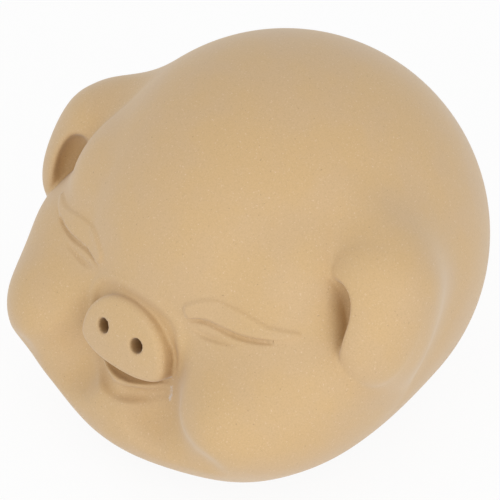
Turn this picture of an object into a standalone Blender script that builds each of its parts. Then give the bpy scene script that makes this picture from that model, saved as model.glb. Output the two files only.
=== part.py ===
"""Round clay pig, made solid in one piece: metres, Z up, snout towards -Y, standing on z = 0.

The surface is one smooth form: a ball, face masses and ears melted together, with the eyes,
mouth and ear hollows pressed in along curves. A rough skin over plain ellipsoids is settled
onto that form, cut flat underneath and pierced for the nostrils.
"""

import math

import bmesh
import bpy
import numpy as np
from mathutils import Matrix, Vector

MM = 0.001

# Body: a ball that stands on a flat
BODY_RADIUS = 36.75 * MM
BODY_RISE = 29.7 * MM           # ball's centre above the table
BASE_ROUND = 3.0 * MM           # rounding where the form meets its flat underside
BASE_SKIM = 0.1 * MM            # what the flat cut takes off the rounded underside

# Face masses: half sizes (x, y, z), how deep their centres lie under the ball's surface,
# where they lie on it (degrees to the side, degrees up) and how softly they melt in
CHEEK_HALF = (15.5 * MM, 22.5 * MM, 13.7 * MM)
CHEEK_SINK = 4.3 * MM
CHEEK_PLACE = (45.8, -18.7)
CHEEK_BLEND = 10.0 * MM
CHIN_HALF = (23.8 * MM, 15.8 * MM, 10.1 * MM)
CHIN_SINK = 1.9 * MM
CHIN_PLACE = (0.0, -32.3)
CHIN_BLEND = 9.0 * MM
MUZZLE_HALF = (12.5 * MM, 14.5 * MM, 13.5 * MM)
MUZZLE_SINK = 15.6 * MM
MUZZLE_PLACE = (0.0, -23.1)
MUZZLE_BLEND = 9.0 * MM
TEMPLE_HALF = (9.5 * MM, 10.0 * MM, 12.0 * MM)
TEMPLE_SINK = 7.6 * MM
TEMPLE_PLACE = (50.0, 14.0)
TEMPLE_BLEND = 6.0 * MM
JOWL_HALF = (8.5 * MM, 9.5 * MM, 7.5 * MM)
JOWL_SINK = 1.6 * MM
JOWL_PLACE = (58.0, -2.0)
JOWL_BLEND = 6.0 * MM

# Ears: a broad mass on the side of the ball with a lobe that hangs down to the tip
EAR_HALF = (10.7 * MM, 10.2 * MM, 11.0 * MM)
EAR_SINK = 0.8 * MM
EAR_PLACE = (70.6, 16.8)
LOBE_HALF = (6.4 * MM, 8.4 * MM, 8.6 * MM)
LOBE_DROP = (3.8 * MM, -4.4 * MM, -6.6 * MM)    # from the ear's centre
LOBE_BLEND = 5.0 * MM
EAR_FRONT_BLEND = 0.5 * MM      # crisp at the hollow, soft behind
EAR_BACK_BLEND = 10.0 * MM
EAR_FRONT = 8.5 * MM            # how far before the ear's centre the soft part begins
EAR_SOFTENS = 12.0 * MM         # over what length it gets fully soft
# Pocket between the ear's front edge and the temple, from its upper end to the tip:
# x, y, z from the ear's centre, radius, in millimetres
HOLLOW = [(-3.4, -9.8, 4.6, 1.0), (-1.6, -9.6, 3.8, 1.7), (0.2, -9.1, 2.4, 2.2), (0.9, -9.7, 0.0, 2.6),
          (1.1, -10.9, -2.6, 2.4), (1.2, -12.6, -5.0, 1.9), (1.6, -13.8, -7.2, 1.5), (3.4, -14.4, -9.4, 1.2),
          (6.0, -14.2, -11.0, 0.8)]
HOLLOW_BLEND = 1.2 * MM

# Snout: a thick pad, round above and flatter below, that looks a little upwards
SNOUT_HALF_WIDTH = 10.1 * MM
SNOUT_CROWN = 9.3 * MM          # from its widest level up to its top
SNOUT_SAG = 3.4 * MM            # and down to its lower edge
SNOUT_SQUARE = 2.6              # 2 is a round lower half, more is squarer
SNOUT_HEIGHT = -4.3 * MM        # its widest level, from the ball's centre
SNOUT_REACH = 3.6 * MM          # how far its face stands out of the head there
SNOUT_ROOT = 9.0 * MM           # how deep it goes back from its face
SNOUT_TILT = math.radians(14.0)
SNOUT_DOME = 1.1 * MM           # its face is this much lower at the rim
SNOUT_EDGE = 1.3 * MM
SNOUT_BLEND = 0.6 * MM
# Soft fold around the snout's root, as seen from the front: x, z from the ball's centre, radius,
# in millimetres
FOLD = [(-1.0, 6.2, 0.8), (3.0, 5.9, 0.8), (6.4, 4.9, 0.8), (9.2, 3.2, 0.8), (10.7, 0.6, 0.8),
        (11.1, -2.5, 0.7), (11.0, -5.5, 0.5)]
FOLD_SINK = 0.7 * MM
FOLD_BLEND = 1.0 * MM

NOSTRIL_RADIUS = 1.55 * MM
NOSTRIL_SPACING = 8.2 * MM
NOSTRIL_RISE = 2.9 * MM         # above the snout's widest level
NOSTRIL_DEPTH = 4.5 * MM

# Lines of the face as seen from the front: x, z from the ball's centre, radius, in millimetres
EYE_LINE = [(11.2, 4.6, 0.35), (12.8, 5.3, 0.55), (15.0, 5.6, 0.65), (19.6, 5.2, 0.7), (22.6, 5.2, 0.7),
            (25.8, 5.5, 0.55), (28.2, 6.0, 0.3)]
EYE_LID = [(11.6, 6.5, 1.4), (14.6, 7.5, 1.95), (17.0, 7.45, 2.05), (19.6, 7.2, 1.95), (22.5, 6.85, 1.65),
           (25.0, 6.65, 1.2), (27.4, 6.75, 0.9), (29.4, 7.0, 0.4)]
UNDER_EYE = [(12.4, 3.9, 0.3), (14.6, 3.6, 0.6), (17.4, 3.75, 0.6), (20.8, 3.9, 0.3)]
TROUGH = [(10.3, -3.0, 2.9), (10.0, -5.5, 3.6), (9.6, -8.0, 4.9), (9.8, -10.5, 5.8), (12.3, -12.3, 5.2),
          (15.6, -13.6, 4.3), (19.9, -15.0, 3.5), (23.5, -16.0, 2.9)]
LOWER_LIP = [(-8.5, -9.2, 0.8), (-6.0, -10.2, 1.2), (-3.0, -10.6, 1.4), (0.0, -10.7, 1.45),
             (3.0, -10.6, 1.4), (6.0, -10.2, 1.2), (8.5, -9.2, 0.8)]
MOUTH = [(-8.0, -6.6, 1.2), (-6.4, -7.6, 1.45), (-3.5, -8.4, 1.6), (0.0, -8.6, 1.65), (3.5, -8.4, 1.6),
         (6.4, -7.6, 1.45), (8.0, -6.6, 1.2)]
UNDER_LIP = [(-8.9, -10.2, 0.9), (-5.6, -11.5, 1.2), (0.0, -11.9, 1.3), (5.6, -11.5, 1.2), (8.9, -10.2, 0.9)]
TROUGH_LIFT = 3.0 * MM          # a groove's curve runs this far outside the head
TROUGH_BLEND = 2.6 * MM
EYE_LIFT = 0.25 * MM
MOUTH_LIFT = 1.2 * MM
UNDER_LIP_LIFT = 0.8 * MM
EYE_BLEND = 0.35 * MM
UNDER_EYE_LIFT = 0.25 * MM
LID_THICK = 0.45 * MM           # a lid stands this far out of the head
LID_EDGE = 0.45 * MM
LID_BLEND = 0.5 * MM
LIP_SINK = 0.7 * MM
LIP_BLEND = 0.8 * MM
MOUTH_BLEND = 0.8 * MM

# Mesh
GRAINS = (1.5 * MM, 0.9 * MM, 0.55 * MM)    # size of the skin's quads, from rough to fine
EAR_GRAIN = 0.9 * MM
SNOUT_SPARE = 1.15             # the rough snout is this much larger than the finished one
PROBE = 0.05 * MM               # step over which the form's slope is read
TRIANGLES = 10000
NOSTRIL_SIDES = 20

CLAY_COLOUR = (0.66, 0.48, 0.26, 1.0)
CLAY_ROUGHNESS = 0.62


def on_ball(place, sink):
    """Point under the ball's surface, by degrees to the pig's left of its nose and degrees up."""
    side, up = (math.radians(angle) for angle in place)
    reach = BODY_RADIUS - sink
    return np.array((math.sin(side) * math.cos(up), -math.cos(side) * math.cos(up), math.sin(up))) * reach


CHEEK = on_ball(CHEEK_PLACE, CHEEK_SINK)
CHIN = on_ball(CHIN_PLACE, CHIN_SINK)
MUZZLE = on_ball(MUZZLE_PLACE, MUZZLE_SINK)
TEMPLE = on_ball(TEMPLE_PLACE, TEMPLE_SINK)
JOWL = on_ball(JOWL_PLACE, JOWL_SINK)
EAR = on_ball(EAR_PLACE, EAR_SINK)
LOBE = EAR + np.array(LOBE_DROP)


def ellipsoid(points, centre, half):
    """Near-distance to an ellipsoid: below zero inside, zero on it."""
    local = (points - centre) / np.array(half)
    reach = np.linalg.norm(local, axis=-1)
    slope = np.linalg.norm(local / np.array(half), axis=-1)
    return reach * (reach - 1.0) / np.maximum(slope, 1e-9)


def melt(a, b, blend):
    """Union of two forms with a soft valley between them."""
    gap = np.maximum(blend - np.abs(a - b), 0.0)
    return np.minimum(a, b) - gap * gap / (4.0 * blend)


def carve(a, b, blend):
    """Form a with form b taken out of it, the edge rounded."""
    return -melt(-a, b, blend)


def flow(rows, steps=6):
    """Smooth curve through the rows (Catmull-Rom), every column taken along."""
    rows = np.array(rows, float)
    rows = np.vstack([2 * rows[0] - rows[1], rows, 2 * rows[-1] - rows[-2]])
    curve = []
    for before, start, end, after in zip(rows, rows[1:], rows[2:], rows[3:]):
        for t in np.arange(steps) / steps:
            curve.append(0.5 * (2 * start + (end - before) * t
                                + (2 * before - 5 * start + 4 * end - after) * t ** 2
                                + (3 * start - before - 3 * end + after) * t ** 3))
    curve.append(rows[-2])
    return np.array(curve)


def tube(points, curve):
    """Distance to a tube along the curve, whose last column is its radius."""
    nearest = np.full(points.shape[:-1], np.inf)
    for start, end in zip(curve, curve[1:]):
        along = end[:3] - start[:3]
        share = np.clip(((points - start[:3]) @ along) / (along @ along), 0.0, 1.0)
        away = np.linalg.norm(points - start[:3] - share[..., None] * along, axis=-1)
        nearest = np.minimum(nearest, away - start[3] - share * (end[3] - start[3]))
    return nearest


def near(points, curve, blend):
    """Which points the tube along the curve can reach."""
    margin = curve[:, 3].max() + 3.0 * blend
    low, high = curve[:, :3].min(axis=0) - margin, curve[:, :3].max(axis=0) + margin
    return np.all((points > low) & (points < high), axis=-1)


def press(form, points, curve, tool, blend):
    """Melts a tube along the curve in, or carves it out."""
    close = near(points, curve, blend)
    form[close] = tool(form[close], tube(points[close], curve), blend)


def pad(form, points, curve, thick, edge, blend):
    """Thickens the form evenly where it lies inside the tube along the curve."""
    close = near(points, curve, blend)
    raised = carve(form[close] - thick, -tube(points[close], curve), edge)
    form[close] = melt(form[close], raised, blend)


def masses(points):
    """Ball, temples, jowls, cheeks, chin and muzzle, for points whose x is not negative."""
    form = ellipsoid(points, np.zeros(3), (BODY_RADIUS,) * 3)
    form = melt(form, ellipsoid(points, TEMPLE, TEMPLE_HALF), TEMPLE_BLEND)
    form = melt(form, ellipsoid(points, JOWL, JOWL_HALF), JOWL_BLEND)
    form = melt(form, ellipsoid(points, CHEEK, CHEEK_HALF), CHEEK_BLEND)
    form = melt(form, ellipsoid(points, CHIN, CHIN_HALF), CHIN_BLEND)
    return melt(form, ellipsoid(points, MUZZLE, MUZZLE_HALF), MUZZLE_BLEND)


def lay_on(surface, line, sink=0.0):
    """Curve through points given as seen from the front, laid on the surface and sunk into it."""
    line = np.array(line, float) * MM
    depth = np.full(len(line), -2.0 * BODY_RADIUS)
    for _ in range(60):
        depth += 0.8 * surface(np.stack([np.abs(line[:, 0]), depth, line[:, 1]], axis=-1))
    return flow(np.stack([line[:, 0], depth + sink, line[:, 1], line[:, 2]], axis=-1))


TROUGH_CURVE = lay_on(masses, TROUGH, -TROUGH_LIFT)


def head(points):
    """The masses with the trough that parts the cheeks from snout, mouth and chin."""
    form = masses(points)
    press(form, points, TROUGH_CURVE, carve, TROUGH_BLEND)
    return form


HOLLOW_CURVE = flow(np.array(HOLLOW) * MM + np.append(EAR, 0.0))
FOLD_CURVE = lay_on(head, FOLD, FOLD_SINK)
EYE_CURVE = lay_on(head, EYE_LINE, -EYE_LIFT)
LID_CURVE = lay_on(head, EYE_LID)
UNDER_EYE_CURVE = lay_on(head, UNDER_EYE, -UNDER_EYE_LIFT)
LIP_CURVE = lay_on(head, LOWER_LIP, LIP_SINK)
MOUTH_CURVE = lay_on(head, MOUTH, -MOUTH_LIFT)
UNDER_LIP_CURVE = lay_on(head, UNDER_LIP, -UNDER_LIP_LIFT)
SNOUT_FACE = lay_on(masses, [(0.0, SNOUT_HEIGHT / MM, 0.0)] * 2)[0, :3] - np.array((0.0, SNOUT_REACH, 0.0))


def ear(points):
    """One ear, its lobe hanging to the front, with the pocket behind its front edge."""
    form = melt(ellipsoid(points, EAR, EAR_HALF), ellipsoid(points, LOBE, LOBE_HALF), LOBE_BLEND)
    press(form, points, HOLLOW_CURVE, carve, HOLLOW_BLEND)
    return form


def snout(points):
    """Pad, round above and squarer below, with a slightly domed face."""
    local = points - SNOUT_FACE
    out = local[..., 2] * math.sin(SNOUT_TILT) - local[..., 1] * math.cos(SNOUT_TILT)
    up = local[..., 2] * math.cos(SNOUT_TILT) + local[..., 1] * math.sin(SNOUT_TILT)
    bulge = SNOUT_DOME * (local[..., 0] ** 2 + up ** 2) / SNOUT_HALF_WIDTH ** 2
    high = np.where(up > 0.0, SNOUT_CROWN, SNOUT_SAG)
    power = np.where(up > 0.0, 2.0, SNOUT_SQUARE)
    across, up = np.abs(local[..., 0]) / SNOUT_HALF_WIDTH, np.abs(up) / high
    reach = np.maximum((across ** power + up ** power) ** (1.0 / power), 1e-6)
    slope = np.hypot(across ** (power - 1.0) / SNOUT_HALF_WIDTH, up ** (power - 1.0) / high)
    outline = (reach - 1.0) / np.maximum(slope * reach ** (1.0 - power), 1e-9)
    return np.maximum(carve(outline, -out - bulge, SNOUT_EDGE), -out - SNOUT_ROOT)


def pig(points):
    """The whole form, zero on its surface and below zero inside; points are in the part's frame."""
    points = points - np.array((0.0, 0.0, BODY_RISE))
    folded = np.concatenate([np.abs(points[..., :1]), points[..., 1:]], axis=-1)
    form = head(folded)
    back = np.clip((folded[..., 1] - EAR[1] + EAR_FRONT) / EAR_SOFTENS, 0.0, 1.0)
    blend = EAR_FRONT_BLEND + (EAR_BACK_BLEND - EAR_FRONT_BLEND) * back * back * (3.0 - 2.0 * back)
    form = melt(form, ear(folded), blend)
    press(form, folded, FOLD_CURVE, melt, FOLD_BLEND)
    pad(form, folded, LID_CURVE, LID_THICK, LID_EDGE, LID_BLEND)
    press(form, folded, UNDER_EYE_CURVE, carve, EYE_BLEND)
    press(form, folded, EYE_CURVE, carve, EYE_BLEND)
    press(form, points, LIP_CURVE, melt, LIP_BLEND)
    press(form, points, MOUTH_CURVE, carve, MOUTH_BLEND)
    press(form, points, UNDER_LIP_CURVE, carve, LIP_BLEND)
    form = melt(form, snout(points), SNOUT_BLEND)
    return carve(form, points[..., 2] + BODY_RISE, BASE_ROUND)


def settle(mesh, rounds, longest_step):
    """Moves each vertex along the form's slope until it lies on the surface."""
    points = np.empty(len(mesh.vertices) * 3, dtype=np.float32)
    mesh.vertices.foreach_get("co", points)
    points = points.reshape(-1, 3).astype(float)
    for _ in range(rounds):
        slope = np.stack([pig(points + step) - pig(points - step) for step in np.eye(3) * PROBE], axis=-1)
        slope /= 2.0 * PROBE
        steepness = np.maximum(np.linalg.norm(slope, axis=-1), 0.3)
        step = np.clip(pig(points) / steepness, -longest_step, longest_step)
        points -= (step / steepness)[:, None] * slope
    mesh.vertices.foreach_set("co", points.astype(np.float32).ravel())
    mesh.update()


def apply_modifiers(obj):
    """Gives the object the mesh that its modifiers make."""
    shape = bpy.data.meshes.new_from_object(obj.evaluated_get(bpy.context.evaluated_depsgraph_get()))
    obj.modifiers.clear()
    rough, obj.data = obj.data, shape
    bpy.data.meshes.remove(rough)


def remesh(obj, grain):
    """Skins the object with even quads of the given size."""
    skin = obj.modifiers.new("Skin", "REMESH")
    skin.mode = "VOXEL"
    skin.voxel_size = grain
    apply_modifiers(obj)


def even_out(obj, rounds):
    """Relaxes the mesh, so that no faces are left crowded or folded."""
    relax = obj.modifiers.new("Relax", "SMOOTH")
    relax.factor = 0.5
    relax.iterations = rounds
    apply_modifiers(obj)


def both_sides(shapes):
    """The shapes and their mirror images."""
    return [(np.array(centre) * (side, 1.0, 1.0), half) for side in (1.0, -1.0) for centre, half in shapes]


def ellipsoids(name, shapes, collection):
    """Plain ellipsoids in one mesh, placed from the ball's centre."""
    bm = bmesh.new()
    for centre, half in shapes:
        place = Matrix.Translation(Vector(centre) + Vector((0.0, 0.0, BODY_RISE)))
        bmesh.ops.create_uvsphere(bm, u_segments=48, v_segments=24, radius=1.0,
                                  matrix=place @ Matrix.Diagonal((*half, 1.0)))
    mesh = bpy.data.meshes.new(name)
    bm.to_mesh(mesh)
    bm.free()
    obj = bpy.data.objects.new(name, mesh)
    collection.objects.link(obj)
    return obj


def rough_pig(name, collection):
    """The masses as plain ellipsoids in one object, the ears already hollowed."""
    ears = ellipsoids("ears", both_sides([(EAR, EAR_HALF), (LOBE, LOBE_HALF)]), collection)
    beads = [(row[:3], (row[3],) * 3) for row in HOLLOW_CURVE[::2]]
    hollows = ellipsoids("hollows", both_sides(beads), collection)
    for block in (ears, hollows):
        remesh(block, EAR_GRAIN)
    hollow_out = ears.modifiers.new("Hollow", "BOOLEAN")
    hollow_out.operation = "DIFFERENCE"
    hollow_out.solver = "EXACT"
    hollow_out.object = hollows
    apply_modifiers(ears)
    snout_middle = SNOUT_FACE + np.array((0.0, SNOUT_REACH, (SNOUT_CROWN - SNOUT_SAG) / 2.0))
    snout_half = (SNOUT_HALF_WIDTH, 2.0 * SNOUT_REACH, (SNOUT_CROWN + SNOUT_SAG) / 2.0)
    snout_half = tuple(half * SNOUT_SPARE for half in snout_half)
    middle = [(np.zeros(3), (BODY_RADIUS,) * 3), (CHIN, CHIN_HALF), (MUZZLE, MUZZLE_HALF),
              (snout_middle, snout_half)]
    sides = both_sides([(CHEEK, CHEEK_HALF), (TEMPLE, TEMPLE_HALF), (JOWL, JOWL_HALF)])
    block = ellipsoids(name, middle + sides, collection)
    bm = bmesh.new()
    for part in (block, ears):
        bm.from_mesh(part.data)
    bm.to_mesh(block.data)
    bm.free()
    for used in (ears, hollows):
        bpy.data.objects.remove(used)
    return block


def cut_flat(mesh, height):
    """Cuts the mesh off at the height and closes it with one flat face."""
    bm = bmesh.new()
    bm.from_mesh(mesh)
    cut = bmesh.ops.bisect_plane(bm, geom=bm.verts[:] + bm.edges[:] + bm.faces[:], plane_co=(0.0, 0.0, height),
                                 plane_no=(0.0, 0.0, 1.0), clear_inner=True)
    rim = [edge for edge in cut["geom_cut"] if isinstance(edge, bmesh.types.BMEdge)]
    bmesh.ops.contextual_create(bm, geom=rim)
    bmesh.ops.recalc_face_normals(bm, faces=bm.faces)
    bm.to_mesh(mesh)
    bm.free()


def stand_on_origin(mesh):
    """Puts the middle of the underside of the mesh's box at the origin, and returns the shift."""
    corners = np.array([vertex.co for vertex in mesh.vertices])
    low, high = corners.min(axis=0), corners.max(axis=0)
    shift = Vector((0.0, -(low[1] + high[1]) / 2.0, -low[2]))
    mesh.transform(Matrix.Translation(shift))
    return shift


def nostril_cutter(side, shift, collection):
    """Round pin with a domed end, square to the snout's face."""
    outward = Vector((0.0, -math.cos(SNOUT_TILT), math.sin(SNOUT_TILT)))
    middle = Vector(SNOUT_FACE) + Vector((side * NOSTRIL_SPACING / 2.0, 0.0, BODY_RISE)) + shift
    middle += Vector((0.0, math.sin(SNOUT_TILT), math.cos(SNOUT_TILT))) * NOSTRIL_RISE
    bpy.ops.mesh.primitive_cylinder_add(vertices=NOSTRIL_SIDES, radius=NOSTRIL_RADIUS,
                                        depth=2.0 * NOSTRIL_DEPTH, location=middle)
    pin = bpy.context.object
    pin.name = "nostril_cutter_left" if side > 0 else "nostril_cutter_right"
    pin.rotation_euler = outward.to_track_quat("Z", "Y").to_euler()
    pin.display_type = "WIRE"
    pin.hide_render = True
    for holder in pin.users_collection:
        holder.objects.unlink(pin)
    collection.objects.link(pin)
    return pin


def clay():
    """Unglazed pale ochre clay."""
    material = bpy.data.materials.new("ochre_clay")
    material.use_nodes = True
    shader = material.node_tree.nodes["Principled BSDF"]
    shader.inputs["Base Color"].default_value = CLAY_COLOUR
    shader.inputs["Roughness"].default_value = CLAY_ROUGHNESS
    shader.inputs["Metallic"].default_value = 0.0
    return material


def build_pig(collection, cutters):
    """The finished pig: settled form, flat underside and nostrils."""
    obj = rough_pig("pig_figure", collection)
    for grain in GRAINS:
        remesh(obj, grain)
        for _ in range(2):
            settle(obj.data, 2, grain)
            even_out(obj, 2)
        settle(obj.data, 2, grain)
    thin = obj.modifiers.new("Thin", "DECIMATE")
    thin.ratio = TRIANGLES / sum(len(face.vertices) - 2 for face in obj.data.polygons)
    apply_modifiers(obj)
    cut_flat(obj.data, BASE_SKIM)
    shift = stand_on_origin(obj.data)
    for side in (1.0, -1.0):
        pierce = obj.modifiers.new("Nostril", "BOOLEAN")
        pierce.operation = "DIFFERENCE"
        pierce.solver = "EXACT"
        pierce.object = nostril_cutter(side, shift, cutters)
    obj.data.materials.append(clay())
    obj.data.shade_smooth()
    return obj


def main():
    for obj in list(bpy.data.objects):
        bpy.data.objects.remove(obj)
    figure = bpy.data.collections.new("pig_statue")
    cutters = bpy.data.collections.new("cutters")
    for collection in (figure, cutters):
        bpy.context.scene.collection.children.link(collection)
    build_pig(figure, cutters)


main()
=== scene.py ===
"""Round clay pig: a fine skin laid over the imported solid, sandy unglazed clay, a white studio."""

import math

import bpy
import numpy as np
from mathutils import Matrix, Vector

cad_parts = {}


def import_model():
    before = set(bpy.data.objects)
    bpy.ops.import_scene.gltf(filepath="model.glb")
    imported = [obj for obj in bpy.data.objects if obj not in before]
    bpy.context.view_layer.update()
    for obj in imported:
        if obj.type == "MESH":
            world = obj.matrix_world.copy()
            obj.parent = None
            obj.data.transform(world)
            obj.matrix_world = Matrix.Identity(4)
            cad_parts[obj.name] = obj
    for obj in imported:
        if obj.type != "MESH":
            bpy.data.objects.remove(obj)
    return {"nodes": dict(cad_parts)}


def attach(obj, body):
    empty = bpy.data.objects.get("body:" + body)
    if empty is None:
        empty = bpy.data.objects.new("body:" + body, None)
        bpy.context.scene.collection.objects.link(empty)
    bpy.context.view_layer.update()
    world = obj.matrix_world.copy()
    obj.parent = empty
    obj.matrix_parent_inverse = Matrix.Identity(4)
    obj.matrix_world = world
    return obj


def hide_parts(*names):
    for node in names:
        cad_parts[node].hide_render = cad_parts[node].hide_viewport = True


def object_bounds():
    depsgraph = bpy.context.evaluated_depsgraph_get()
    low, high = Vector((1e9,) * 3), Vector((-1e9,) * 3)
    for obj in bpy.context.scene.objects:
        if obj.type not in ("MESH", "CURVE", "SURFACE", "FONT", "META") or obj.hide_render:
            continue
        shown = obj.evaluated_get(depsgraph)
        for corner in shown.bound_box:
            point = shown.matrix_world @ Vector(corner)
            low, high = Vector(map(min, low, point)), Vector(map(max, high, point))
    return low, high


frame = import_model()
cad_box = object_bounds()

MM = 0.001

# Body: a ball that stands on a flat
BODY_RADIUS = 36.75 * MM
BODY_RISE = 29.7 * MM           # ball's centre above the table
BASE_ROUND = 3.0 * MM           # rounding where the form meets its flat underside
BASE_SKIM = 0.1 * MM            # what the flat cut takes off the rounded underside

# Face masses: half sizes (x, y, z), how deep their centres lie under the ball's surface,
# where they lie on it (degrees to the side, degrees up) and how softly they melt in
CHEEK_HALF = (15.5 * MM, 22.5 * MM, 13.7 * MM)
CHEEK_SINK = 4.3 * MM
CHEEK_PLACE = (45.8, -18.7)
CHEEK_BLEND = 10.0 * MM
CHIN_HALF = (23.8 * MM, 15.8 * MM, 10.1 * MM)
CHIN_SINK = 1.9 * MM
CHIN_PLACE = (0.0, -32.3)
CHIN_BLEND = 9.0 * MM
MUZZLE_HALF = (12.5 * MM, 14.5 * MM, 13.5 * MM)
MUZZLE_SINK = 15.6 * MM
MUZZLE_PLACE = (0.0, -23.1)
MUZZLE_BLEND = 9.0 * MM
TEMPLE_HALF = (9.5 * MM, 10.0 * MM, 12.0 * MM)
TEMPLE_SINK = 7.6 * MM
TEMPLE_PLACE = (50.0, 14.0)
TEMPLE_BLEND = 6.0 * MM
JOWL_HALF = (8.5 * MM, 9.5 * MM, 7.5 * MM)
JOWL_SINK = 1.6 * MM
JOWL_PLACE = (58.0, -2.0)
JOWL_BLEND = 6.0 * MM

# Ears: a broad mass on the side of the ball with a lobe that hangs down to the tip
EAR_HALF = (10.7 * MM, 10.2 * MM, 11.0 * MM)
EAR_SINK = 0.8 * MM
EAR_PLACE = (70.6, 16.8)
LOBE_HALF = (6.4 * MM, 8.4 * MM, 8.6 * MM)
LOBE_DROP = (3.8 * MM, -4.4 * MM, -6.6 * MM)    # from the ear's centre
LOBE_BLEND = 5.0 * MM
EAR_FRONT_BLEND = 0.5 * MM      # crisp at the hollow, soft behind
EAR_BACK_BLEND = 10.0 * MM
EAR_FRONT = 8.5 * MM            # how far before the ear's centre the soft part begins
EAR_SOFTENS = 12.0 * MM         # over what length it gets fully soft
# Pocket between the ear's front edge and the temple, from its upper end to the tip:
# x, y, z from the ear's centre, radius, in millimetres
HOLLOW = [(-3.4, -9.8, 4.6, 1.0), (-1.6, -9.6, 3.8, 1.7), (0.2, -9.1, 2.4, 2.2),
          (0.9, -9.7, 0.0, 2.6), (1.1, -10.9, -2.6, 2.4), (1.2, -12.6, -5.0, 1.9),
          (1.6, -13.8, -7.2, 1.5), (3.4, -14.4, -9.4, 1.2), (6.0, -14.2, -11.0, 0.8)]
HOLLOW_BLEND = 1.2 * MM

# Snout: a thick pad, round above and flatter below, that looks a little upwards
SNOUT_HALF_WIDTH = 10.1 * MM
SNOUT_CROWN = 9.3 * MM          # from its widest level up to its top
SNOUT_SAG = 3.4 * MM            # and down to its lower edge
SNOUT_SQUARE = 2.6              # 2 is a round lower half, more is squarer
SNOUT_HEIGHT = -4.3 * MM        # its widest level, from the ball's centre
SNOUT_REACH = 3.6 * MM          # how far its face stands out of the head there
SNOUT_ROOT = 9.0 * MM           # how deep it goes back from its face
SNOUT_TILT = math.radians(14.0)
SNOUT_DOME = 1.1 * MM           # its face is this much lower at the rim
SNOUT_EDGE = 1.3 * MM
SNOUT_BLEND = 0.6 * MM
# Soft fold around the snout's root, as seen from the front: x, z from the ball's centre, radius,
# in millimetres
FOLD = [(-1.0, 6.2, 0.8), (3.0, 5.9, 0.8), (6.4, 4.9, 0.8), (9.2, 3.2, 0.8), (10.7, 0.6, 0.8),
        (11.1, -2.5, 0.7), (11.0, -5.5, 0.5)]
FOLD_SINK = 0.7 * MM
FOLD_BLEND = 1.0 * MM

NOSTRIL_RADIUS = 1.55 * MM
NOSTRIL_SPACING = 8.2 * MM
NOSTRIL_RISE = 2.9 * MM         # above the snout's widest level
NOSTRIL_DEPTH = 4.5 * MM
NOSTRIL_NARROWS = 0.8           # to this share of its radius, from as far before the face as behind it
NOSTRIL_BLEND = 0.35 * MM

# Lines of the face as seen from the front: x, z from the ball's centre, radius, in millimetres
EYE_LINE = [(11.2, 4.6, 0.25), (12.8, 5.3, 0.4), (15.0, 5.6, 0.46), (19.6, 5.2, 0.5),
            (22.6, 5.2, 0.48), (25.8, 5.5, 0.4), (28.2, 6.0, 0.2)]
EYE_LID = [(11.6, 6.5, 1.4), (14.6, 7.5, 1.95), (17.0, 7.45, 2.05), (19.6, 7.2, 1.95),
           (22.5, 6.85, 1.65), (25.0, 6.65, 1.2), (27.4, 6.75, 0.9), (29.4, 7.0, 0.4)]
UNDER_EYE = [(12.4, 3.9, 0.3), (14.6, 3.6, 0.6), (17.4, 3.75, 0.6), (20.8, 3.9, 0.3)]
TROUGH = [(10.3, -3.0, 2.9), (10.0, -5.5, 3.6), (9.6, -8.0, 4.9), (9.8, -10.5, 5.8),
          (12.3, -12.3, 5.2), (15.6, -13.6, 4.3), (19.9, -15.0, 3.5), (23.5, -16.0, 2.9)]
LOWER_LIP = [(-8.5, -9.2, 0.8), (-6.0, -10.2, 1.2), (-3.0, -10.6, 1.4), (0.0, -10.7, 1.45),
             (3.0, -10.6, 1.4), (6.0, -10.2, 1.2), (8.5, -9.2, 0.8)]
MOUTH = [(-8.0, -6.6, 1.2), (-6.4, -7.6, 1.45), (-3.5, -8.4, 1.6), (0.0, -8.6, 1.65),
         (3.5, -8.4, 1.6), (6.4, -7.6, 1.45), (8.0, -6.6, 1.2)]
UNDER_LIP = [(-8.9, -10.2, 0.9), (-5.6, -11.5, 1.2), (0.0, -11.9, 1.3), (5.6, -11.5, 1.2),
             (8.9, -10.2, 0.9)]
TROUGH_LIFT = 3.0 * MM          # a groove's curve runs this far outside the head
TROUGH_BLEND = 3.4 * MM
EYE_LIFT = 0.12 * MM
UNDER_EYE_LIFT = 0.25 * MM
EYE_BLEND = 0.25 * MM
MOUTH_LIFT = 1.2 * MM
UNDER_LIP_LIFT = 0.8 * MM
LID_THICK = 0.45 * MM           # a lid stands this far out of the head
LID_EDGE = 0.45 * MM
LID_BLEND = 0.5 * MM
LIP_SINK = 0.7 * MM
LIP_BLEND = 0.8 * MM
MOUTH_BLEND = 0.8 * MM

# Skin: quads of these sizes, one after the other, settled on the form and relaxed by turns
FINE_GRAINS = (0.7 * MM, 0.36 * MM)
TURNS = 2
SETTLE_ROUNDS = 2
RELAX_ROUNDS = 2
FINE_TRIANGLES = 190000
PROBE = 0.05 * MM               # half the span over which the form's slope is taken
LEAST_SLOPE = 0.3               # keeps the steps short where two forms meet

# Clay: colours and the sizes of its mottling, tooth and grains
WHITE = (1.0, 1.0, 1.0, 1.0)
CLAY_COLOUR = (0.60, 0.412, 0.220, 1.0)
CLAY_WARMER = (0.61, 0.412, 0.203, 1.0)
MOTTLE_SIZE = 9.0 * MM
# Painted crease shade: the colour is darkened where ambient occlusion finds close surfaces within this
# reach
CREASE_SHADE_TINT = (0.56, 0.44, 0.27, 1.0)   # painted shade: what the colour is multiplied by deep in a crease
CREASE_SHADE_REACH = 5.0 * MM
TOOTH_TINT = (0.93, 0.92, 0.90, 1.0)    # and between the finest grains
TOOTH_SIZE = 0.26 * MM
GRAIN_PALE = (0.67, 0.49, 0.30, 1.0)
GRAIN_PALE_SIZE = 0.34 * MM
GRAIN_DARK = (0.44, 0.28, 0.14, 1.0)
GRAIN_DARK_SIZE = 0.38 * MM
BUMP_SIZE = 0.35 * MM
BUMP_DEPTH = 0.04 * MM
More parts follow.
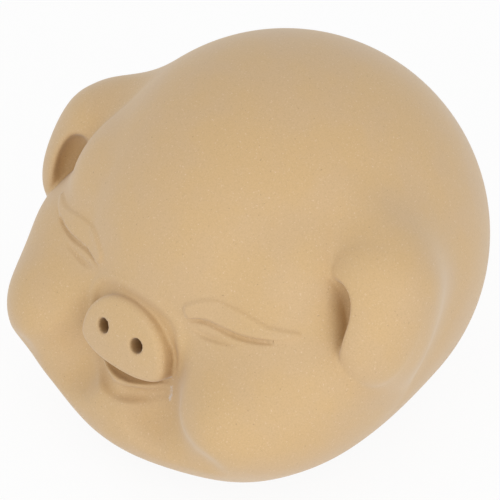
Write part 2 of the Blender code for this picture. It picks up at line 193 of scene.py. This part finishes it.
# Chip beside the mouth: both its ends, from the ball's centre in millimetres
CHIP = [(10.0, -38.0, -6.6), (9.7, -38.2, -11.0)]
CHIP_RADIUS = 0.6 * MM
CHIP_RAGGED = 0.5 * MM          # size of the bites out of its edge
CHIP_COLOUR = (0.62, 0.55, 0.50, 1.0)

# Studio
FLOOR_RADIUS = 3.0
FLOOR_COLOUR = (0.9, 0.9, 0.9, 1.0)
FLOOR_SHOWN = 0.92              # share of pure white in what the camera sees of the table
TENT_LIGHT = 0.77
LAMP_DISTANCE = 0.8
LAMP_SIZE = 0.6
KEY_PLACE = (75.0, 10.0)        # degrees to the pig's left, degrees up
KEY_POWER = 1.8
FILL_PLACE = (20.0, 20.0)
FILL_POWER = 1.4
CAMERA_PLACE = (45.0, 35.0)
CAMERA_DISTANCE = 450.0 * MM
CAMERA_LENS = 180.0             # for a sensor 36 wide
CAMERA_SENSOR = 36.0
AIM_RIGHT = 6.3 * MM            # where the figure's middle lies from the picture's
AIM_ABOVE = 3.06 * MM


def direction(place):
    """Unit vector, by degrees to the pig's left of its nose and degrees up."""
    side, up = (math.radians(angle) for angle in place)
    return np.array((math.sin(side) * math.cos(up), -math.cos(side) * math.cos(up), math.sin(up)))


def on_ball(place, sink):
    """Point in the given direction from the ball's centre, as deep under its surface as sink says."""
    return direction(place) * (BODY_RADIUS - sink)


CHEEK = on_ball(CHEEK_PLACE, CHEEK_SINK)
CHIN = on_ball(CHIN_PLACE, CHIN_SINK)
MUZZLE = on_ball(MUZZLE_PLACE, MUZZLE_SINK)
TEMPLE = on_ball(TEMPLE_PLACE, TEMPLE_SINK)
JOWL = on_ball(JOWL_PLACE, JOWL_SINK)
EAR = on_ball(EAR_PLACE, EAR_SINK)
LOBE = EAR + np.array(LOBE_DROP)


def ellipsoid(points, centre, half):
    """Near-distance to an ellipsoid: below zero inside, zero on it."""
    local = (points - centre) / np.array(half)
    reach = np.linalg.norm(local, axis=-1)
    slope = np.linalg.norm(local / np.array(half), axis=-1)
    return reach * (reach - 1.0) / np.maximum(slope, 1e-9)


def melt(a, b, blend):
    """Union of two forms with a soft valley between them."""
    gap = np.maximum(blend - np.abs(a - b), 0.0)
    return np.minimum(a, b) - gap * gap / (4.0 * blend)


def carve(a, b, blend):
    """Form a with form b taken out of it, the edge rounded."""
    return -melt(-a, b, blend)


def flow(rows, steps=6):
    """Smooth curve through the rows (Catmull-Rom), every column taken along."""
    rows = np.array(rows, float)
    rows = np.vstack([2 * rows[0] - rows[1], rows, 2 * rows[-1] - rows[-2]])
    curve = []
    for before, start, end, after in zip(rows, rows[1:], rows[2:], rows[3:]):
        for t in np.arange(steps) / steps:
            curve.append(0.5 * (2 * start + (end - before) * t
                                + (2 * before - 5 * start + 4 * end - after) * t ** 2
                                + (3 * start - before - 3 * end + after) * t ** 3))
    curve.append(rows[-2])
    return np.array(curve)


def tube(points, curve):
    """Distance to a tube along the curve, whose last column is its radius."""
    nearest = np.full(points.shape[:-1], np.inf)
    for start, end in zip(curve, curve[1:]):
        along = end[:3] - start[:3]
        share = np.clip(((points - start[:3]) @ along) / (along @ along), 0.0, 1.0)
        away = np.linalg.norm(points - start[:3] - share[..., None] * along, axis=-1)
        nearest = np.minimum(nearest, away - start[3] - share * (end[3] - start[3]))
    return nearest


def near(points, curve, blend):
    """Which points the tube along the curve can reach."""
    margin = curve[:, 3].max() + 3.0 * blend
    low, high = curve[:, :3].min(axis=0) - margin, curve[:, :3].max(axis=0) + margin
    return np.all((points > low) & (points < high), axis=-1)


def press(form, points, curve, tool, blend):
    """Melts a tube along the curve in, or carves it out."""
    close = near(points, curve, blend)
    form[close] = tool(form[close], tube(points[close], curve), blend)


def pad(form, points, curve, thick, edge, blend):
    """Thickens the form evenly where it lies inside the tube along the curve."""
    close = near(points, curve, blend)
    raised = carve(form[close] - thick, -tube(points[close], curve), edge)
    form[close] = melt(form[close], raised, blend)


def masses(points):
    """Ball, temples, jowls, cheeks, chin and muzzle, for points whose x is not negative."""
    form = ellipsoid(points, np.zeros(3), (BODY_RADIUS,) * 3)
    form = melt(form, ellipsoid(points, TEMPLE, TEMPLE_HALF), TEMPLE_BLEND)
    form = melt(form, ellipsoid(points, JOWL, JOWL_HALF), JOWL_BLEND)
    form = melt(form, ellipsoid(points, CHEEK, CHEEK_HALF), CHEEK_BLEND)
    form = melt(form, ellipsoid(points, CHIN, CHIN_HALF), CHIN_BLEND)
    return melt(form, ellipsoid(points, MUZZLE, MUZZLE_HALF), MUZZLE_BLEND)


def lay_on(surface, line, sink=0.0):
    """Curve through points seen from the front, laid on the surface step by step and sunk into it."""
    line = np.array(line, float) * MM
    depth = np.full(len(line), -2.0 * BODY_RADIUS)
    for _ in range(60):
        depth += 0.8 * surface(np.stack([np.abs(line[:, 0]), depth, line[:, 1]], axis=-1))
    return flow(np.stack([line[:, 0], depth + sink, line[:, 1], line[:, 2]], axis=-1))


TROUGH_CURVE = lay_on(masses, TROUGH, -TROUGH_LIFT)


def head(points):
    """The masses with the trough that parts the cheeks from snout, mouth and chin."""
    form = masses(points)
    press(form, points, TROUGH_CURVE, carve, TROUGH_BLEND)
    return form


HOLLOW_CURVE = flow(np.array(HOLLOW) * MM + np.append(EAR, 0.0))
FOLD_CURVE = lay_on(head, FOLD, FOLD_SINK)
EYE_CURVE = lay_on(head, EYE_LINE, -EYE_LIFT)
LID_CURVE = lay_on(head, EYE_LID)
UNDER_EYE_CURVE = lay_on(head, UNDER_EYE, -UNDER_EYE_LIFT)
LIP_CURVE = lay_on(head, LOWER_LIP, LIP_SINK)
MOUTH_CURVE = lay_on(head, MOUTH, -MOUTH_LIFT)
UNDER_LIP_CURVE = lay_on(head, UNDER_LIP, -UNDER_LIP_LIFT)
SNOUT_FACE = lay_on(masses, [(0.0, SNOUT_HEIGHT / MM, 0.0)] * 2)[0, :3]
SNOUT_FACE = SNOUT_FACE - np.array((0.0, SNOUT_REACH, 0.0))
OUTWARD = np.array((0.0, -math.cos(SNOUT_TILT), math.sin(SNOUT_TILT)))
UPWARD = np.array((0.0, math.sin(SNOUT_TILT), math.cos(SNOUT_TILT)))
NOSTRIL = SNOUT_FACE + UPWARD * NOSTRIL_RISE + np.array((NOSTRIL_SPACING / 2.0, 0.0, 0.0))
NOSTRIL_CURVE = np.array([
    np.append(NOSTRIL + OUTWARD * NOSTRIL_DEPTH, NOSTRIL_RADIUS),
    np.append(NOSTRIL - OUTWARD * NOSTRIL_DEPTH, NOSTRIL_RADIUS * NOSTRIL_NARROWS)])


def ear(points):
    """One ear, its lobe hanging to the front, with the pocket behind its front edge."""
    form = melt(ellipsoid(points, EAR, EAR_HALF), ellipsoid(points, LOBE, LOBE_HALF), LOBE_BLEND)
    press(form, points, HOLLOW_CURVE, carve, HOLLOW_BLEND)
    return form


def snout(points):
    """Pad, round above and squarer below, with a slightly domed face."""
    local = points - SNOUT_FACE
    out = local[..., 2] * math.sin(SNOUT_TILT) - local[..., 1] * math.cos(SNOUT_TILT)
    up = local[..., 2] * math.cos(SNOUT_TILT) + local[..., 1] * math.sin(SNOUT_TILT)
    bulge = SNOUT_DOME * (local[..., 0] ** 2 + up ** 2) / SNOUT_HALF_WIDTH ** 2
    high = np.where(up > 0.0, SNOUT_CROWN, SNOUT_SAG)
    power = np.where(up > 0.0, 2.0, SNOUT_SQUARE)
    across, up = np.abs(local[..., 0]) / SNOUT_HALF_WIDTH, np.abs(up) / high
    reach = np.maximum((across ** power + up ** power) ** (1.0 / power), 1e-6)
    slope = np.hypot(across ** (power - 1.0) / SNOUT_HALF_WIDTH, up ** (power - 1.0) / high)
    outline = (reach - 1.0) / np.maximum(slope * reach ** (1.0 - power), 1e-9)
    return np.maximum(carve(outline, -out - bulge, SNOUT_EDGE), -out - SNOUT_ROOT)


def pig(points):
    """The whole form, zero on its surface and below zero inside; points are in the part's frame."""
    points = points - np.array((0.0, 0.0, BODY_RISE))
    folded = np.concatenate([np.abs(points[..., :1]), points[..., 1:]], axis=-1)
    form = head(folded)
    back = np.clip((folded[..., 1] - EAR[1] + EAR_FRONT) / EAR_SOFTENS, 0.0, 1.0)
    blend = EAR_FRONT_BLEND + (EAR_BACK_BLEND - EAR_FRONT_BLEND) * back * back * (3.0 - 2.0 * back)
    form = melt(form, ear(folded), blend)
    press(form, folded, FOLD_CURVE, melt, FOLD_BLEND)
    pad(form, folded, LID_CURVE, LID_THICK, LID_EDGE, LID_BLEND)
    press(form, folded, UNDER_EYE_CURVE, carve, EYE_BLEND)
    press(form, folded, EYE_CURVE, carve, EYE_BLEND)
    press(form, points, LIP_CURVE, melt, LIP_BLEND)
    press(form, points, MOUTH_CURVE, carve, MOUTH_BLEND)
    press(form, points, UNDER_LIP_CURVE, carve, LIP_BLEND)
    form = melt(form, snout(points), SNOUT_BLEND)
    press(form, folded, NOSTRIL_CURVE, carve, NOSTRIL_BLEND)
    return carve(form, points[..., 2] + BODY_RISE, BASE_ROUND)


def settle(mesh, shift, longest_step):
    """Moves each vertex along the form's slope until it lies on the surface."""
    points = np.empty(len(mesh.vertices) * 3, dtype=np.float32)
    mesh.vertices.foreach_get("co", points)
    points = points.reshape(-1, 3).astype(float) - shift
    for _ in range(SETTLE_ROUNDS):
        slope = np.stack([pig(points + step) - pig(points - step) for step in np.eye(3) * PROBE], axis=-1)
        slope /= 2.0 * PROBE
        steepness = np.maximum(np.linalg.norm(slope, axis=-1), LEAST_SLOPE)
        step = np.clip(pig(points) / steepness, -longest_step, longest_step)
        points -= (step / steepness)[:, None] * slope
    mesh.vertices.foreach_set("co", (points + shift).astype(np.float32).ravel())
    mesh.update()


def apply_modifiers(obj):
    """Gives the object the mesh that its modifiers make."""
    shape = bpy.data.meshes.new_from_object(obj.evaluated_get(bpy.context.evaluated_depsgraph_get()))
    obj.modifiers.clear()
    rough, obj.data = obj.data, shape
    bpy.data.meshes.remove(rough)


def remesh(obj, grain):
    """Skins the object with even quads of the given size."""
    skin = obj.modifiers.new("Skin", "REMESH")
    skin.mode = "VOXEL"
    skin.voxel_size = grain
    apply_modifiers(obj)


def even_out(obj):
    """Relaxes the mesh, so that no faces are left crowded or folded."""
    relax = obj.modifiers.new("Relax", "SMOOTH")
    relax.factor = 0.5
    relax.iterations = RELAX_ROUNDS
    apply_modifiers(obj)


def fine_pig(shift):
    """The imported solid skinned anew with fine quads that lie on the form."""
    solid = frame["nodes"]["pig_figure"]
    obj = bpy.data.objects.new("clay_pig", solid.data.copy())
    bpy.context.scene.collection.objects.link(obj)
    for grain in FINE_GRAINS:
        remesh(obj, grain)
        for _ in range(TURNS):
            settle(obj.data, shift, grain)
            even_out(obj)
        settle(obj.data, shift, grain)
    triangles = sum(len(face.vertices) - 2 for face in obj.data.polygons)
    if triangles > FINE_TRIANGLES:
        thin = obj.modifiers.new("Thin", "DECIMATE")
        thin.ratio = FINE_TRIANGLES / triangles
        apply_modifiers(obj)
    obj.data.shade_smooth()
    return obj


def clay(centre):
    """Unglazed ochre clay: sandy grains, painted shade darkening the creases, a fine tooth, a dry sheen
    and one chip.
    """
    material = bpy.data.materials.new("sandy_clay")
    material.use_nodes = True
    nodes, links = material.node_tree.nodes, material.node_tree.links
    shader = nodes["Principled BSDF"]
    place = nodes.new("ShaderNodeTexCoord").outputs["Object"]

    def noise(size, detail=2.0, roughness=0.5):
        """Noise whose lumps are about the given size."""
        node = nodes.new("ShaderNodeTexNoise")
        node.inputs["Scale"].default_value = 1.0 / size
        node.inputs["Detail"].default_value = detail
        node.inputs["Roughness"].default_value = roughness
        links.new(place, node.inputs["Vector"])
        return node.outputs["Fac"]

    def vector_math(operation, *values):
        """Vector node whose inputs are other nodes' outputs or plain vectors."""
        node = nodes.new("ShaderNodeVectorMath")
        node.operation = operation
        for value, socket in zip(values, node.inputs):
            if isinstance(value, bpy.types.NodeSocket):
                links.new(value, socket)
            else:
                socket.default_value = value
        return node

    def between(value, low, high):
        """From 0 at low to 1 at high, softly."""
        node = nodes.new("ShaderNodeMapRange")
        node.interpolation_type = "SMOOTHSTEP"
        node.inputs["From Min"].default_value = low
        node.inputs["From Max"].default_value = high
        links.new(value, node.inputs["Value"])
        return node.outputs["Result"]

    def tint(factor, under, over, blend_type="MIX"):
        """One colour over the other, by the factor, or in full where there is none."""
        node = nodes.new("ShaderNodeMix")
        node.data_type = "RGBA"
        node.blend_type = blend_type
        node.inputs["Factor"].default_value = 1.0
        if factor is not None:
            links.new(factor, node.inputs["Factor"])
        for value, socket in ((under, node.inputs["A"]), (over, node.inputs["B"])):
            if isinstance(value, tuple):
                socket.default_value = value
            else:
                links.new(value, socket)
        return node.outputs["Result"]

    def chip():
        """1 within a ragged line between the chip's two ends, 0 away from it."""
        start, end = (centre + Vector(point) * MM for point in CHIP)
        offset = vector_math("SUBTRACT", place, start).outputs["Vector"]
        along = vector_math("DOT_PRODUCT", offset, (end - start) / (end - start).length_squared)
        share = nodes.new("ShaderNodeClamp")
        links.new(along.outputs["Value"], share.inputs["Value"])
        nearest = vector_math("SCALE", end - start)
        links.new(share.outputs["Result"], nearest.inputs["Scale"])
        away = vector_math("DISTANCE", offset, nearest.outputs["Vector"])
        ragged = nodes.new("ShaderNodeMath")
        ragged.operation = "MULTIPLY_ADD"
        ragged.inputs[1].default_value = 2.0 * CHIP_RADIUS
        links.new(noise(CHIP_RAGGED, 2.0, 0.8), ragged.inputs[0])
        links.new(away.outputs["Value"], ragged.inputs[2])
        return between(ragged.outputs["Value"], 1.9 * CHIP_RADIUS, 1.2 * CHIP_RADIUS)

    # Painted shade: the colour is darkened where ambient occlusion finds close surfaces, in creases and
    # hollows
    crease_shade = nodes.new("ShaderNodeAmbientOcclusion")
    crease_shade.samples = 8
    crease_shade.inputs["Distance"].default_value = CREASE_SHADE_REACH
    deep = tint(between(crease_shade.outputs["AO"], 0.1, 0.92), CREASE_SHADE_TINT, WHITE)
    tooth = tint(between(noise(TOOTH_SIZE, 2.0, 0.6), 0.3, 0.6), TOOTH_TINT, WHITE)
    colour = tint(between(noise(MOTTLE_SIZE, 3.0), 0.35, 0.65), CLAY_COLOUR, CLAY_WARMER)
    colour = tint(None, colour, tooth, "MULTIPLY")
    colour = tint(between(noise(GRAIN_PALE_SIZE, 1.0), 0.62, 0.80), colour, GRAIN_PALE)
    colour = tint(between(noise(GRAIN_DARK_SIZE, 1.0, 0.4), 0.70, 0.84), colour, GRAIN_DARK)
    # the painted crease shade, multiplied into the clay's colour
    colour = tint(None, colour, deep, "MULTIPLY")
    colour = tint(chip(), colour, CHIP_COLOUR)
    links.new(colour, shader.inputs["Base Color"])
    shader.inputs["Roughness"].default_value = 0.6
    shader.inputs["Specular IOR Level"].default_value = 0.4
    shader.inputs["Sheen Weight"].default_value = 0.3
    shader.inputs["Sheen Roughness"].default_value = 0.5
    bump = nodes.new("ShaderNodeBump")
    bump.inputs["Strength"].default_value = 0.35
    bump.inputs["Distance"].default_value = BUMP_DEPTH
    links.new(noise(BUMP_SIZE, 3.0, 0.6), bump.inputs["Height"])
    links.new(bump.outputs["Normal"], shader.inputs["Normal"])
    return material


def studio_white(name, colour, shown):
    """Matt white that shows nearly white to the camera and in reflections, and keeps shadows."""
    material = bpy.data.materials.new(name)
    material.use_nodes = True
    nodes, links = material.node_tree.nodes, material.node_tree.links
    nodes.remove(nodes["Principled BSDF"])
    matt = nodes.new("ShaderNodeBsdfDiffuse")
    matt.inputs["Color"].default_value = colour
    glow = nodes.new("ShaderNodeEmission")
    mix = nodes.new("ShaderNodeMixShader")
    path = nodes.new("ShaderNodeLightPath")
    seen = nodes.new("ShaderNodeMath")
    seen.operation = "MAXIMUM"
    share = nodes.new("ShaderNodeMath")
    share.operation = "MULTIPLY"
    share.inputs[1].default_value = shown
    links.new(path.outputs["Is Camera Ray"], seen.inputs[0])
    links.new(path.outputs["Is Glossy Ray"], seen.inputs[1])
    links.new(seen.outputs["Value"], share.inputs[0])
    links.new(share.outputs["Value"], mix.inputs["Fac"])
    links.new(matt.outputs["BSDF"], mix.inputs[1])
    links.new(glow.outputs["Emission"], mix.inputs[2])
    links.new(mix.outputs["Shader"], nodes["Material Output"].inputs["Surface"])
    return material


def floor():
    """Round white table that ends far outside the view."""
    bpy.ops.mesh.primitive_circle_add(vertices=64, radius=FLOOR_RADIUS, fill_type="NGON")
    table = bpy.context.object
    table.name = "floor"
    table.data.materials.append(studio_white("white_table", FLOOR_COLOUR, FLOOR_SHOWN))
    return table


def world():
    """Even white surroundings, as in a light tent; what the camera sees of them is pure white."""
    surroundings = bpy.data.worlds.new("tent")
    surroundings.use_nodes = True
    nodes, links = surroundings.node_tree.nodes, surroundings.node_tree.links
    light = nodes["Background"]
    path = nodes.new("ShaderNodeLightPath")
    strength = nodes.new("ShaderNodeMapRange")
    strength.inputs["To Min"].default_value = TENT_LIGHT
    strength.inputs["To Max"].default_value = 1.0
    links.new(path.outputs["Is Camera Ray"], strength.inputs["Value"])
    links.new(strength.outputs["Result"], light.inputs["Strength"])
    light.inputs["Color"].default_value = WHITE
    bpy.context.scene.world = surroundings


def softbox(name, aim, place, power):
    """Square soft light that looks at the aim from the given direction."""
    away = Vector(direction(place))
    data = bpy.data.lights.new(name, "AREA")
    data.size = LAMP_SIZE
    data.energy = power
    lamp = bpy.data.objects.new(name, data)
    lamp.location = aim + away * LAMP_DISTANCE
    lamp.rotation_euler = away.to_track_quat("Z", "Y").to_euler()
    bpy.context.scene.collection.objects.link(lamp)


def camera(centre):
    """Camera 45 degrees to the pig's left and 35 degrees up, at the photograph's framing."""
    side = math.radians(CAMERA_PLACE[0])
    towards = Vector(direction(CAMERA_PLACE))
    right = Vector((math.cos(side), math.sin(side), 0.0))
    above = towards.cross(right)
    aim = centre - right * AIM_RIGHT - above * AIM_ABOVE
    data = bpy.data.cameras.new("camera")
    data.sensor_width = CAMERA_SENSOR
    data.lens = CAMERA_LENS
    data.clip_start = 0.01
    view = bpy.data.objects.new("camera", data)
    view.matrix_world = Matrix.Translation(aim + towards * CAMERA_DISTANCE) @ Matrix(
        (right, above, towards)).transposed().to_4x4()
    bpy.context.scene.collection.objects.link(view)
    bpy.context.scene.camera = view


bpy.context.scene.view_settings.view_transform = "Standard"
shift = np.array((0.0, cad_box[1][1] - BODY_RADIUS, -BASE_SKIM))
centre = Vector(shift) + Vector((0.0, 0.0, BODY_RISE))
camera(centre)
world()
softbox("key", centre, KEY_PLACE, KEY_POWER)
softbox("fill", centre, FILL_PLACE, FILL_POWER)
table = floor()

statue = fine_pig(shift)
statue.data.materials.clear()
statue.data.materials.append(clay(centre))
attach(statue, "root")
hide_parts("pig_figure")
